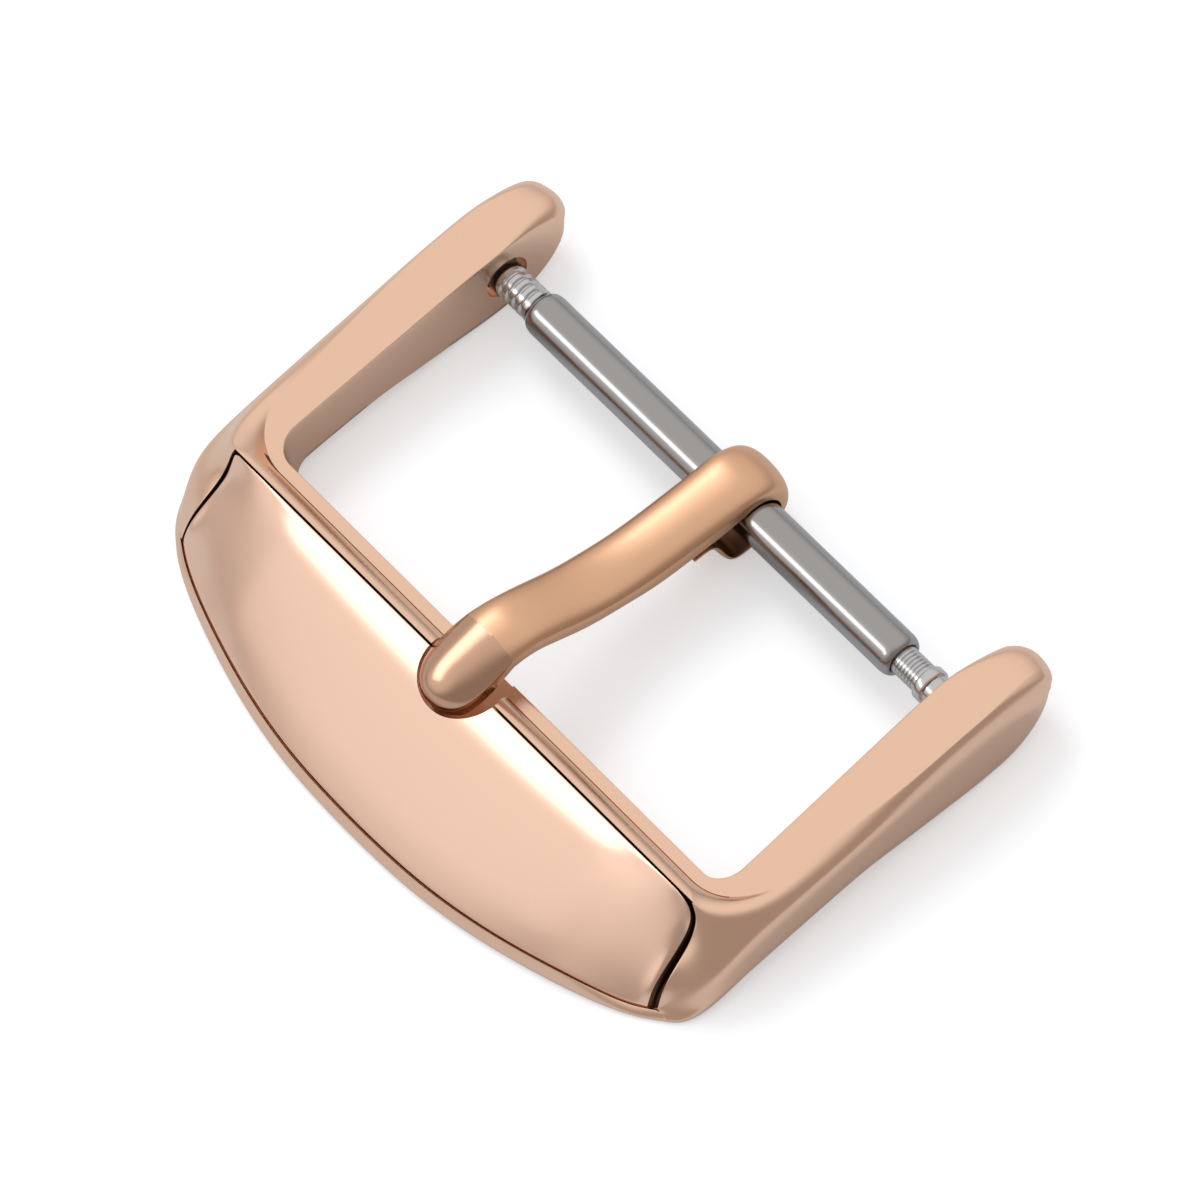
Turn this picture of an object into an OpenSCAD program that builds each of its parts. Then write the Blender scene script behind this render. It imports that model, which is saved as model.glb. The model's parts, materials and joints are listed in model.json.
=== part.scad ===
// Watch strap buckle: a cast frame, a polished front plate, a folded tongue and a sprung bar.
// Sizes are in millimetres. Everything is drawn about the axis of the spring bar, with the front
// bar towards -Y, and is then tilted and lifted so that it lies on the table.

/* [Strap window] */
// Gap between the two arms at the spring bar
strap_gap = 18; // [14:0.5:24]
// How much further out each arm's inner face is at the front
gap_flare = 0.2; // [0:0.05:0.5]
// From the axis of the spring bar to the front bar's inner face
window_length = 7.85; // [6.5:0.05:11]
// Radius of the window's front corners
window_fillet = 0.8; // [0.4:0.1:1.6]

/* [Frame] */
// Width of an arm at the spring bar
arm_width = 1.86; // [1.5:0.02:2.4]
// Depth of the front bar at its middle, seen from above
front_depth = 5.61; // [4.6:0.01:7]
// Top of the rim above the axis of the spring bar
rim_height = 1.14; // [1:0.02:1.5]
// Width of the flat rim round the window
rim_band = 0.36; // [0.25:0.01:0.6]
// Width of the bead between the rim and the plate
bead_width = 0.5; // [0.35:0.01:0.7]
// Height of the bead above the rim
bead_rise = 0.7; // [0.4:0.02:0.9]
// Bottom of the lobes below the axis of the spring bar
lobe_drop = 1.24; // [1.1:0.02:1.6]
// Bottom of the front lip below the axis of the spring bar
lip_drop = 0.59; // [0.4:0.01:0.9]
// Reach of the rounded lobes behind the axis of the spring bar
lobe_reach = 2.4; // [1.7:0.05:2.8]

/* [Plate] */
// Thickness of the plate
plate_thickness = 0.4; // [0.3:0.02:0.6]
// Groove round the plate
plate_groove = 0.08; // [0.05:0.01:0.2]
// Film between the plate and its seat
plate_film = 0.03; // [0.02:0.01:0.06]
// From the plate's rear corner to the frame's outer side
plate_margin = 1.41; // [1:0.01:1.7]
// Frame lip in front of the plate
lip_setback = 0.28; // [0.22:0.01:0.6]
// Groove between the plate's left end and the frame
left_end_groove = 0.09; // [0.05:0.01:0.2]
// Groove between the plate's right end and the frame
right_end_groove = 0.17; // [0.05:0.01:0.2]
// Radius of the plate's left rear corner
left_corner = 0.12; // [0.05:0.01:0.5]
// Radius of the plate's right rear corner
right_corner = 0.45; // [0.05:0.01:0.5]
// Radius of the rounded edges at the plate's ends
end_round = 0.26; // [0.05:0.01:0.3]

/* [Notch] */
// Half the width of the notch under the tongue's tip
notch_radius = 1.3; // [1.1:0.01:1.6]
// Length of the notch, from the window to its round end
notch_length = 2.08; // [2:0.02:2.6]
// Floor of the notch above the axis of the spring bar
notch_floor = 0.75; // [0.5:0.05:1]
// From the frame's middle to the left edge of the notch's mouth in the window
mouth_left = 1.5; // [1:0.05:1.8]
// From the frame's middle to the right edge of the notch's mouth in the window
mouth_right = 0.85; // [0.6:0.05:1.4]

/* [Spring bar] */
// Outer diameter of the tube
tube_diameter = 1.3; // [1.2:0.02:1.5]
// Length of the tube
tube_length = 14.76; // [12:0.02:15.4]
// Distance that the tube's middle lies towards the left arm
tube_offset = 0.17; // [0:0.01:0.3]
// Wall of the tube
tube_wall = 0.1; // [0.08:0.01:0.14]
// Clearance between parts that slide in each other, measured on the radius
slide_clearance = 0.02; // [0.015:0.005:0.04]
// Diameter of the left tip
left_tip_diameter = 1.0; // [0.8:0.01:1.02]
// Diameter of the right tip's shaft
right_tip_diameter = 0.87; // [0.7:0.01:0.95]
// Diameter of the collar on the right tip
collar_diameter = 1.05; // [0.95:0.01:1.1]
// How far each tip goes into its arm
tip_depth = 0.8; // [0.6:0.02:0.82]
// Clearance between a tip and its hole, measured on the radius
hole_clearance = 0.04; // [0.02:0.005:0.08]
// Wire of the coil spring
spring_wire = 0.2; // [0.14:0.01:0.22]
// Number of coils in the spring
spring_coils = 17; // [10:1:18]

/* [Tongue] */
// Width of the tongue
tongue_width = 1.9; // [1.6:0.02:2.2]
// Clearance between the tongue's loop and the tube, measured on the radius
loop_clearance = 0.07; // [0.03:0.01:0.09]
// Thickness of the metal over the tube
loop_thickness = 0.5; // [0.4:0.02:0.6]
// Middle of the tongue at the bar, to the right of the frame's middle
tongue_shift = 0.45; // [0:0.05:1]
// Slant of the tongue towards the middle of the notch, in degrees
tongue_yaw = 3.2; // [0:0.1:4]

/* [Hidden] */
$fn = 64;

half_gap = strap_gap / 2;
half_front = half_gap + gap_flare;
half_width = half_gap + arm_width;
front_y = -(window_length + front_depth);
crease_y = -(window_length + rim_band);
ridge_y = crease_y - bead_width;
plate_rear_y = ridge_y - plate_groove;
ridge_z = rim_height + bead_rise;
plate_half = half_width - plate_margin;

// The table touches the lobes and the front lip, so the whole model turns by this much
rest_tilt = atan((lobe_drop - lip_drop) / -front_y);
rest_lift = lobe_drop * cos(rest_tilt);
function rest_z(y) = -lobe_drop - y * tan(rest_tilt);

// Smooth helpers
function clamp01(t) = min(max(t, 0), 1);
function smooth(t) = let (u = clamp01(t)) u * u * (3 - 2 * u);
function mix(a, b, t) = a + (b - a) * t;
function span(keys, u, i = 0) =
    (i >= len(keys) - 2 || u < keys[i + 1][0]) ? i : span(keys, u, i + 1);
function slope(keys, i) =
    let (a = max(i - 1, 0), b = min(i + 1, len(keys) - 1))
    (keys[b][1] - keys[a][1]) / (keys[b][0] - keys[a][0]);
function curve(keys, u) =
    let (
        i = span(keys, u),
        h = keys[i + 1][0] - keys[i][0],
        t = (u - keys[i][0]) / h,
        t2 = t * t,
        t3 = t2 * t
    )
    keys[i][1] * (2 * t3 - 3 * t2 + 1) + slope(keys, i) * h * (t3 - 2 * t2 + t)
    + keys[i + 1][1] * (3 * t2 - 2 * t3) + slope(keys, i + 1) * h * (t3 - t2);

// Closes a ring of points with a strip of triangles, from its first and last points onwards
function strip(ring, i, j) =
    i + 1 >= j ? []
    : abs(ring[i + 1][0]) <= abs(ring[j - 1][0]) ? concat([[i, i + 1, j]], strip(ring, i + 1, j))
    : concat([[i, j - 1, j]], strip(ring, i, j - 1));

// A skin over rings of points, all rings with the same count
module skin(rings) {
    n = len(rings);
    m = len(rings[0]);
    sides = [for (i = [0:n - 2]) for (j = [0:m - 1]) for (h = [0:1])
        let (a = i * m + j, b = i * m + (j + 1) % m, c = b + m, d = a + m)
        h == 0 ? [a, b, c] : [a, c, d]];
    first = [for (f = strip(rings[0], 0, m - 1)) [f[0], f[2], f[1]]];
    last = [for (f = strip(rings[n - 1], 0, m - 1)) f + [1, 1, 1] * (n - 1) * m];
    polyhedron([for (r = rings) for (p = r) p], concat(sides, first, last), convexity = 8);
}

// Front outline of the frame as a setback from the middle, by the share of the half width
outline_keys = [[0, 0], [0.19, 0.05], [0.33, 0.21], [0.47, 0.49], [0.63, 0.94],
                [0.74, 1.32], [0.82, 1.66], [0.88, 2], [0.93, 2.38]];
outline_end = 0.926;
function outline_y(x) = front_y + curve(outline_keys, abs(x) / half_width);

// The plate's upper face: how far forward and how high, in the middle and at its ends
plate_mid = [[0, [0, 0]], [0.2, [0.2, -0.09]], [0.39, [0.39, -0.39]], [0.62, [0.62, -0.89]],
             [0.86, [0.86, -1.49]], [1, [1, -1.99]]];
plate_end = [[0, [0, 0]], [0.12, [0.07, -0.3]], [0.3, [0.25, -0.84]], [0.5, [0.46, -1.14]],
             [0.7, [0.7, -1.43]], [0.86, [0.88, -1.78]], [0.95, [0.97, -2.05]], [1, [1, -2.25]]];
end_start = 0.74;
plate_flare = 0.22;
function plate_x(s, v) = s * (plate_half + plate_flare * v);
function plate_front(s) = outline_y(plate_x(s, 1)) + lip_setback;

// How far the plate's ends draw in where its rear corners are rounded
end_depth = plate_rear_y - plate_front(1);
inset_start = 0.87;
function inset(s, v) =
    let (
        r = s > 0 ? right_corner : left_corner,
        away = max(0, r - end_depth * v)
    )
    sign(s) * (r - sqrt(r * r - away * away)) * smooth((abs(s) - inset_start) / (1 - inset_start));
function face_point(s, v) =
    let (
        w = smooth((abs(s) - end_start) / (1 - end_start)),
        p = mix(curve(plate_mid, v), curve(plate_end, v), w)
    )
    [plate_x(s, v) - inset(s, v), mix(plate_rear_y, plate_front(s), p[0]), ridge_z + p[1]];

// The seat under the plate, which thins towards the front edge
function seat_point(s, v, film) =
    let (
        p = face_point(s, v),
        t = plate_thickness * mix(1, 0.5, smooth((v - 0.6) / 0.4)) - film,
        lean = 0.5 * smooth(2.5 * v)
    )
    p + [0, t * lean, -t * sqrt(1 - lean * lean)];

// One section of the front bar, from the inner bottom edge over the top and round to the bottom
face_steps = [0, 0.06, 0.13, 0.27, 0.45, 0.65, 0.84, 1];
bead_steps = [[0.1, 0.1, 0.26], [0.25, 0.25, 0.53], [0.45, 0.46, 0.78], [0.72, 0.74, 0.95]];
inner_low_z = -0.55;
corner_x = half_front - window_fillet;
under_slope = 0.2;
edge_round = 0.06;
function front_section(s, pocket) =
    let (
        xa = s * corner_x,
        xb = s * (plate_half + plate_groove) - 0.8 * inset(s, 0),
        e = s * outline_end * half_width,
        lip = outline_y(e),
        ledge = face_point(s, 1),
        r = edge_round,
        seat = [for (v = face_steps) pocket ? seat_point(s, v, 0) : face_point(s, v)],
        nose = [mix(ledge[0], e, 0.5), mix(ledge[1], lip, 0.62), mix(ledge[2], -lip_drop, 0.42)],
        under = mix(lip, -window_length, 0.2),
        inner = mix(lip, -window_length, 0.62)
    )
    concat(
        [[xa, -window_length, inner_low_z],
         [xa, -window_length, rim_height - r],
         [xa, -window_length - 0.3 * r, rim_height - 0.3 * r],
         [xa, -window_length - r, rim_height],
         [xa, -window_length - 0.3 * rim_band, rim_height],
         [xa, -window_length - 0.6 * rim_band, rim_height],
         [xa, crease_y, rim_height]],
        [for (b = bead_steps)
            [mix(xa, xb, b[0]), mix(crease_y, ridge_y, b[1]), rim_height + b[2] * bead_rise]],
        [[xb, ridge_y, ridge_z],
         [xb, pocket ? ridge_y : mix(ridge_y, plate_rear_y, 0.5), seat[0][2]]],
        [for (i = [1:7]) seat[i]],
        pocket ? [seat[7] - [0, plate_groove, 0], ledge - [0, plate_groove, 0.04]]
               : [mix(ledge, nose, 0.25), mix(ledge, nose, 0.6)],
        [nose,
         [e, lip, mix(ledge[2], rest_z(lip), 0.78)],
         [e, lip + 0.04, rest_z(lip + 0.04)],
         [mix(xa, e, 0.6), under, rest_z(under)],
         [xa, inner, rest_z(inner)],
         [xa, -window_length - under_slope, inner_low_z - edge_round]]
    );

// An arm's section at the start of the corner and beyond, matched point for point with the front.
// Each point is [share of the width from inside to outside, height from bottom to top]
arm_shares = [[0, 0], [0, 0.965], [0.012, 0.989], [0.035, 1], [0.17, 1], [0.43, 1], [0.78, 1],
              [0.8, 0.992], [0.82, 0.982], [0.84, 0.97], [0.86, 0.957], [0.88, 0.942],
              [0.9, 0.925], [0.92, 0.905], [0.94, 0.88], [0.955, 0.86],
              [0.97, 0.835], [0.985, 0.8], [0.995, 0.75], [1, 0.7],
              [1, 0.58], [1, 0.46], [1, 0.33], [1, 0.2],
              [0.96, 0.05], [0.86, 0], [0.5, 0], [0.2, 0]];
// How far behind or in front of the corner's start each line of the corner section ends
arm_lead = [0, 0, 0, 0, 0.3, 0.6, 1, 1, 0.95, 0.9, 0.85, 0.75, 0.6, 0.4, 0.1, -0.2,
            -0.45, -0.65, -0.8, -0.9, -0.95, -1, -1, -1, -1, -0.9, -0.6, -0.3];
lead_back = 0.75;
left_lead = 1.9;
right_lead = 1.4;
top_keys = [[-8, 0], [-7, 0], [-4, 0.06], [-1, 0.12], [0, 0.08]];
bottom_keys = [[-8, 0.64], [-4.7, 0.64], [-3.3, 0.42], [-2, 0.24], [-0.9, 0.05], [0, -0.02]];
function arm_top(y) = rim_height + curve(top_keys, max(y, -8));
function arm_bottom(y) = max(curve(bottom_keys, max(y, -8)) - lobe_drop, rest_z(y));
function arm_inner(y) = half_gap + gap_flare * clamp01(-y / window_length);
// The flat top is narrower at the front corner and widens towards the lobe
flat_share = 0.78;
function spread(share, y) =
    let (edge = mix(0.84, 0.64, smooth((-y - 1.5) / 5.5)))
    share <= flat_share ? share * edge / flat_share
                        : mix(edge, 1, (share - flat_share) / (1 - flat_share));
function arm_point(share, y, top, bottom) =
    [mix(arm_inner(y), half_width, spread(share[0], y)), y, mix(bottom, top, share[1])];
corner_back = window_length - window_fillet;
function corner_end(i, side) =
    let (
        front = side > 0 ? right_lead : left_lead,
        y = -corner_back + (arm_lead[i] > 0 ? lead_back : front) * arm_lead[i]
    )
    arm_point(arm_shares[i], y, arm_top(y), arm_bottom(y));

// A smooth line from a to b that leaves along a given direction and arrives along the arm
function bend(a, leave, b, t) =
    let (
        along = leave / norm(leave),
        turn = max(acos(along[1]), 11.5),
        pull = 4 * tan(turn / 4) / sin(min(turn, 90)),
        t2 = t * t,
        t3 = t2 * t
    )
    a * (2 * t3 - 3 * t2 + 1) + along * pull * abs((b - a) * along) * (t3 - 2 * t2 + t)
    + b * (3 * t2 - 2 * t3) + [0, pull * abs(b[1] - a[1]), 0] * (t3 - t2);
function corner_section(t, start, before, side) =
    [for (i = [0:len(start) - 1])
        let (e = corner_end(i, side))
        bend(start[i], start[i] - before[i], [side * e[0], e[1], e[2]], t)];

function arm_section(y) = [for (s = arm_shares) arm_point(s, y, arm_top(y), arm_bottom(y))];

// The lobes close round the bar's holes and are rounded in plan as well
lobe_middle = 0.1;
lobe_keys = [[0, 0.86], [0.12, 1], [0.4, 1.04], [0.75, 1], [0.93, 0.88], [1, 0.73]];
function lobe_section(a) =
    let (
        top = mix(lobe_middle, arm_top(0), pow(cos(a), 0.75)),
        bottom = mix(lobe_middle, arm_bottom(0), pow(cos(a), 1.2))
    )
    [for (s = arm_shares)
        let (y = sin(a) * lobe_reach * curve(lobe_keys, s[0]))
        let (p = arm_point(s, y, top, bottom))
        [p[0], p[1], max(p[2], rest_z(y))]];

// One half of the frame, from beside the middle to the end of the lobe, for side -1 or 1
front_steps = [0, 0.12, 0.25, 0.38, 0.5, 0.6, 0.68, 0.76, 0.83, 0.89, 0.93, 0.955, 0.975];
arm_steps = [-0.71, -0.6, -0.48, -0.37, -0.255, -0.17, -0.085, 0];
lobe_steps = [10, 20, 30, 40, 50, 60, 69, 77, 83, 87.5];
end_sliver = 0.0005;
function mirrored(ring) = [for (p = ring) [-p[0], p[1], p[2]]];
function frame_side(side) =
    let (
        end = 1 + (side > 0 ? right_end_groove : left_end_groove) / plate_half,
        start = front_section(side * end, false),
        before = front_section(side * (end - 0.01), false),
        back = concat(
            [for (y = arm_steps) arm_section(y * corner_back)],
            [for (a = lobe_steps) lobe_section(a)]
        )
    )
    concat(
        [for (i = [1:len(front_steps) - 1]) front_section(side * front_steps[i], true)],
        [front_section(side * (end - end_sliver), true), start],
        [for (t = [1:10]) corner_section(t / 10, start, before, side)],
        [for (r = back) side > 0 ? r : mirrored(r)]
    );
left_side = frame_side(-1);
frame_rings = concat(
    [for (i = [len(left_side) - 1:-1:0]) left_side[i]],
    [front_section(0, true)],
    frame_side(1)
);

// Turns a point of the drawing to where it lies on the table
function laid_y(p) = p[1] * cos(rest_tilt) - p[2] * sin(rest_tilt);
laid = [for (r = frame_rings) for (p = r) laid_y(p)];
middle_y = (min(laid) + max(laid)) / 2;
module lay_down() {
    translate([0, -middle_y, rest_lift]) rotate([rest_tilt, 0, 0]) children();
}

// Notch for the tongue's tip, open towards the window
notch_y = -window_length - notch_length + notch_radius;
cut_past = 1;
module notch_cut() {
    translate([0, 0, notch_floor]) linear_extrude(ridge_z - notch_floor + cut_past) union() {
        translate([0, notch_y]) circle(notch_radius);
        polygon([[-notch_radius, notch_y], [notch_radius, notch_y],
                 [mouth_right, -window_length], [mouth_right, -window_length + cut_past],
                 [-mouth_left, -window_length + cut_past], [-mouth_left, -window_length]]);
    }
}

// Holes for the tips of the spring bar, closed on the outside and wider at the mouth
hole_depth = tip_depth + 0.2;
left_hole = left_tip_diameter / 2 + hole_clearance;
right_hole = right_tip_diameter / 2 + hole_clearance;
mouth_depth = 0.25;
mouth_step = 0.14;
module arm_hole(r) {
    translate([half_gap - cut_past, 0, 0]) rotate([0, 90, 0]) union() {
        cylinder(h = hole_depth + cut_past, r = r);
        cylinder(h = mouth_depth + cut_past, r = r + mouth_step);
    }
}

module buckle_frame() {
    color("#dcae92") lay_down() difference() {
        skin(frame_rings);
        notch_cut();
        arm_hole(right_hole);
        mirror([1, 0, 0]) arm_hole(left_hole);
    }
}

// The plate follows the same sections as its pocket, with its ends rounded off
round_start = 1 - end_round / plate_half;
plate_steps = concat([for (i = [0:10]) front_steps[i]], [0.95, 0.96],
    [for (t = [0, 0.5, 0.8, 0.95, 1]) mix(round_start, 1, t)]);
top_steps = [0, 0.02, 0.06, 0.13, 0.2, 0.27, 0.45, 0.65, 0.84, 1];
plate_edge = 0.03;
function top_point(s, v) =
    let (
        t = clamp01((abs(s) - round_start) / (1 - round_start)),
        fall = (1 - sqrt(1 - t * t)) * end_round * mix(1, 0.2, smooth(2 * v - 1))
    )
    face_point(s, v) - [0, v == 1 ? -plate_edge : 0, v == 0 ? fall + plate_edge : fall];
function plate_ring(s) = concat(
    [for (v = top_steps) top_point(s, v)],
    [top_point(s, 1) - [0, 0, plate_edge]],
    [for (i = [len(face_steps) - 1:-1:0]) seat_point(s, face_steps[i], plate_film)]
);
plate_rings = concat(
    [for (i = [len(plate_steps) - 1:-1:1]) plate_ring(-plate_steps[i])],
    [for (s = plate_steps) plate_ring(s)]
);
module front_plate() {
    color("#f4dccb") lay_down() difference() {
        skin(plate_rings);
        notch_cut();
    }
}

// The tongue is a strip: [inner point, outer point, half width] from its tip round the tube to
// the folded foot, in the plane across the bar
bore = tube_diameter / 2 + loop_clearance;
strip_in = bore - 0.06;
strip_out = bore + loop_thickness;
half_tongue = tongue_width / 2;
blade = [
    [[-9.83, 1.42], [-9.83, 1.8], 0.25], [[-9.75, 1.36], [-9.77, 2.06], 0.5],
    [[-9.52, 1.36], [-9.58, 2.28], 0.8], [[-9.14, 1.48], [-9.2, 2.44], 1],
    [[-8.6, 1.64], [-8.62, 2.54], 1.05], [[-8.1, 1.84], [-8.06, 2.64], 1.03],
    [[-7.62, 2.04], [-7.56, 2.7], 0.98], [[-7.1, 2.06], [-7.0, 2.66], 0.95],
    [[-6.6, 1.86], [-6.45, 2.5], 0.94], [[-6.1, 1.6], [-5.9, 2.26], 0.95],
    [[-5.5, 1.3], [-5.25, 1.94], 0.95], [[-4.9, 1.1], [-4.65, 1.7], 0.95],
    [[-4.2, 0.92], [-4.0, 1.52], 0.95], [[-3.3, 0.66], [-3.2, 1.38], 0.95],
    [[-2.3, 0.6], [-2.3, 1.3], 0.95], [[-1.2, 0.58], [-1.2, 1.26], 0.95],
    [[-0.5, 0.6], [-0.5, 1.22], 0.95]
];
fold = [
    [[-0.06, -0.82], [-0.06, -1.1]], [[-0.48, -0.86], [-0.5, -1.07]],
    [[-0.78, -0.87], [-0.82, -1.07]], [[-1.0, -0.77], [-1.1, -0.95]],
    [[-1.1, -0.55], [-1.25, -0.65]], [[-1.17, -0.25], [-1.33, -0.3]],
    [[-1.23, 0.08], [-1.39, 0.04]], [[-1.3, 0.3], [-1.45, 0.2]],
    [[-1.42, 0.43], [-1.54, 0.29]], [[-1.62, 0.47], [-1.68, 0.31]],
    [[-1.98, 0.47], [-1.98, 0.32]], [[-2.02, 0.44], [-2.02, 0.36]]
];
// The sizes for which the two lists above were drawn, so that both follow a changed size
drawn_reach = 9.93;
drawn_out = 1.22;
drawn_ridge = 1.84;
drawn_bore = 0.72;
drawn_half = 0.95;
function blade_point(p) = [
    p[0] * (window_length + notch_length) / drawn_reach,
    p[1] * mix(strip_out / drawn_out, ridge_z / drawn_ridge, smooth(-p[0] / 4))
];
loop_angles = [90, 70, 50, 30, 10, -10, -30, -50, -70];
// The wrapped metal gets thinner round the tube, and swells a little behind it
function wrap_share(a) =
    mix(1, 0.7, smooth((10 - a) / 80)) + 0.24 * smooth((80 - a) / 60) * smooth((a + 60) / 60);
tongue_stations = concat(
    [for (b = blade) [blade_point(b[0]), blade_point(b[1]), b[2] * half_tongue / drawn_half]],
    [for (a = loop_angles)
        [[cos(a), sin(a)] * strip_in, [cos(a), sin(a)] * mix(strip_in, strip_out, wrap_share(a)),
         half_tongue]],
    [for (f = fold) [f[0] * bore / drawn_bore, f[1] * bore / drawn_bore, half_tongue]]
);
crown = [[-1, 0], [-1, 0.42], [-0.95, 0.62], [-0.8, 0.8], [-0.55, 0.92], [-0.25, 0.985],
         [0.25, 0.985], [0.55, 0.92], [0.8, 0.8], [0.95, 0.62], [1, 0.42], [1, 0]];

// One section of the strip. The tip is rounder than the blade and lies a little to the left
tip_shift = -0.1;
tip_start = 0.69;
function tongue_ring(st) =
    let (
        reach = -st[1][0] / (window_length + notch_length),
        tip = st[1][1] > bore ? smooth((reach - tip_start) / 0.16) : 0
    )
    [for (c = crown)
        let (
            q = c[1] == 0 ? 0 : mix(c[1], sqrt(1 - pow(0.93 * c[0], 2)), tip),
            p = mix(st[0], st[1], q)
        )
        [c[0] * st[2] + tip_shift * tip, p[0], p[1]]];
module tongue() {
    color("#c99b78") lay_down() difference() {
        translate([tongue_shift, 0, 0]) rotate([0, 0, -tongue_yaw])
            skin([for (st = tongue_stations) tongue_ring(st)]);
        rotate([0, 90, 0]) cylinder(h = 3 * tongue_width, r = bore, center = true);
    }
}

// The tube has rounded ends drawn in round the tips
tube_r = tube_diameter / 2;
tube_bore = tube_r - tube_wall;
head_r = tube_bore - slide_clearance;
left_mouth = left_tip_diameter / 2 + slide_clearance;
right_mouth = right_tip_diameter / 2 + slide_clearance;
half_tube = tube_length / 2;
end_curve = 0.32;
mouth_lip = 0.03;
module along_bar() {
    translate([-tube_offset, 0, 0]) rotate([0, 90, 0]) children();
}
function tube_end(mouth) = [for (a = [90:-15:0])
    [mix(mouth + 0.04, tube_r, sin(a)), half_tube - end_curve + end_curve * cos(a)]];
module bar_tube() {
    left = tube_end(left_mouth);
    color("#c9cdd2") lay_down() along_bar() rotate_extrude() polygon(concat(
        tube_end(right_mouth),
        [[right_mouth, half_tube - mouth_lip], [right_mouth, half_tube - end_curve / 2],
         [tube_bore, half_tube - end_curve], [tube_bore, -half_tube + end_curve],
         [left_mouth, -half_tube + end_curve / 2], [left_mouth, -half_tube + mouth_lip]],
        [for (i = [len(left) - 1:-1:0]) [left[i][0], -left[i][1]]]
    ));
}

// Each tip: a head in the tube, a stem through its mouth, ribs, and an end in the arm's hole.
// The ribs fill the room between the tube's end and the arm
head_length = 1.1;
head_seat = half_tube - end_curve - 0.06;
head_back = head_seat - head_length;
head_edge = 0.08;
left_room = half_gap - tube_offset - half_tube;
right_room = half_gap + tube_offset - half_tube;
left_reach = half_gap - tube_offset + tip_depth;
right_reach = half_gap + tube_offset + tip_depth;
left_ribs = 5;
left_pitch = 0.186 * left_room;
right_ribs = 7;
right_pitch = 0.0654 * right_room;
first_rib = 0.06;
function head(r) = [[0, head_back], [head_r - head_edge, head_back], [head_r, head_back + head_edge],
                    [head_r, head_seat], [r, head_seat]];
// Grooves between the ribs, as points of the profile going outwards along the bar
function grooves(count, pitch, r, depth, wide) =
    [for (i = [0:count - 1]) for (a = [-90:45:90])
        [r - depth * cos(a), half_tube + first_rib + (i + wide * a / 90) * pitch]];
module left_plunger() {
    r = left_tip_diameter / 2;
    color("#b9bdc3") lay_down() along_bar() mirror([0, 0, 1]) rotate_extrude() polygon(concat(
        head(r),
        grooves(left_ribs, left_pitch, r, 0.14 * r, 0.28),
        [[r, left_reach - 0.2], [r - 0.08, left_reach - 0.05], [r - 0.2, left_reach], [0, left_reach]]
    ));
}
collar_start = half_tube + first_rib + right_ribs * right_pitch;
collar_end = collar_start + 0.184 * right_room;
collar_edge = 0.05;
slit_width = 0.09;
module right_plunger() {
    r = right_tip_diameter / 2;
    c = collar_diameter / 2;
    color("#b9bdc3") lay_down() along_bar() difference() {
        rotate_extrude() polygon(concat(
            head(r),
            grooves(right_ribs, right_pitch, r, 0.115 * r, 0.325),
            [[r, collar_start], [c - collar_edge, collar_start], [c, collar_start + collar_edge],
             [c, collar_end - collar_edge], [c - collar_edge, collar_end], [r, collar_end + 0.02],
             [r, right_reach - 0.15], [r - 0.12, right_reach], [0, right_reach]]
        ));
        translate([-slit_width / 2, -2 * r, collar_end + 0.06]) cube([slit_width, 4 * r, tip_depth + 1]);
    }
}

// The coil spring between the two heads, a six-sided wire on a helix
spring_half = head_back - 0.02;
spring_r = tube_bore - 0.06 - spring_wire / 2;
spring_run = 2 * spring_half - spring_wire;
spring_pitch = spring_run / spring_coils;
ring_per_coil = 8;
wire_sides = 6;
function wire_ring(k) =
    let (
        a = 360 * k / ring_per_coil,
        z = -spring_run / 2 + spring_pitch * k / ring_per_coil,
        lead = atan(spring_pitch / (2 * PI * spring_r)),
        out = [cos(a), sin(a), 0],
        up = [sin(a) * sin(lead), -cos(a) * sin(lead), cos(lead)]
    )
    [for (i = [0:wire_sides - 1])
        let (w = 360 * i / wire_sides)
        out * (spring_r + spring_wire / 2 * cos(w)) + [0, 0, z] + up * (spring_wire / 2) * sin(w)];
spring_rings = [for (k = [0:spring_coils * ring_per_coil]) wire_ring(k)];
// Least gap of the wire to itself, measured between points of neighbouring coils
coil_gap = min([for (k = [0:ring_per_coil]) for (p = spring_rings[k])
    for (m = [ring_per_coil - 1:ring_per_coil + 1]) for (q = spring_rings[k + m]) norm(p - q)]);
echo(least_spring_gap = coil_gap, middle_y = middle_y, tilt = rest_tilt, lift = rest_lift);
module plunger_spring() {
    color("#8d9095") lay_down() along_bar() skin(spring_rings);
}

buckle_frame();
front_plate();
tongue();
bar_tube();
left_plunger();
right_plunger();
plunger_spring();
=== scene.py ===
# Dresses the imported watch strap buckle: smooth metal surfaces, materials, light and the photo's view.
import bpy, bmesh, json, math
from mathutils import Vector, Matrix


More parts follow.
